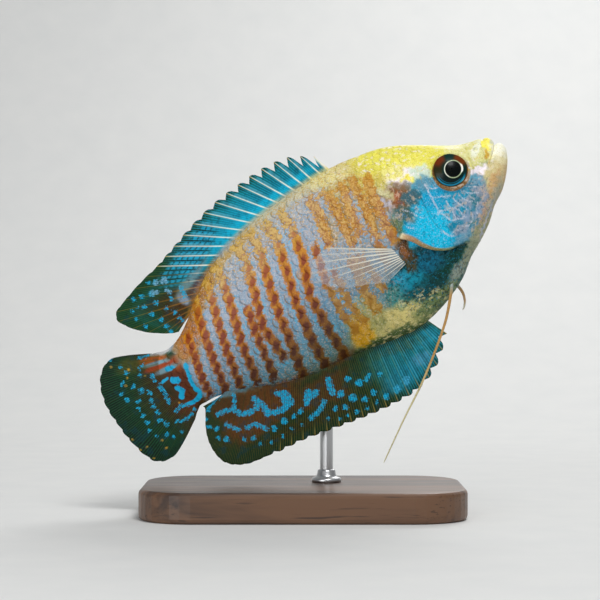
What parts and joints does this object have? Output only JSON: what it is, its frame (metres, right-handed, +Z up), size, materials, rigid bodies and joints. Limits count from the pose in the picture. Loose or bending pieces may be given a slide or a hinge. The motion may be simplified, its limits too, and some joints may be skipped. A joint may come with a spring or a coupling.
{
  "type": "dwarf gourami",
  "caption": "Still, life-size male dwarf gourami, nose up, with spread ridged fins and thread-like pelvic fins, on a small flat base with one rod.",
  "frame": {"origin": "middle of the stand base's underside", "axes": "+X level, towards the side the head points to; +Y towards the fish's left; +Z up. The fish's long axis is pitched 35 degrees nose up from +X."},
  "size_m": [0.0686, 0.034, 0.0632],
  "materials": {
    "head_skin": "wet, bright blue with a yellow forehead",
    "trunk_skin": "wet scales with red and pale blue bars",
    "stalk_skin": "wet scales with red-brown and blue-grey bars",
    "eye": "wet and glossy",
    "dorsal_membrane": "wet fin membrane, blue and green",
    "anal_membrane": "wet fin membrane, dark green",
    "caudal_membrane": "wet fin membrane, dark green",
    "clear_membrane": "clear membrane with pale rays",
    "thread": "smooth and slightly wet",
    "stand_wood": "dark satin varnish",
    "stand_metal": "satin"
  },
  "bodies": {
    "root": {"head": "head_skin", "trunk": "trunk_skin", "tail_stalk": "stalk_skin", "eye_right": "eye", "eye_left": "eye", "dorsal_fin": "dorsal_membrane", "anal_fin": "anal_membrane", "caudal_fin": "caudal_membrane", "pectoral_fin_right": "clear_membrane", "pectoral_fin_left": "clear_membrane", "pelvic_fin_right": "thread", "pelvic_fin_left": "thread", "stand_base": "stand_wood", "stand_rod": "stand_metal"}
  },
  "joints": []
}
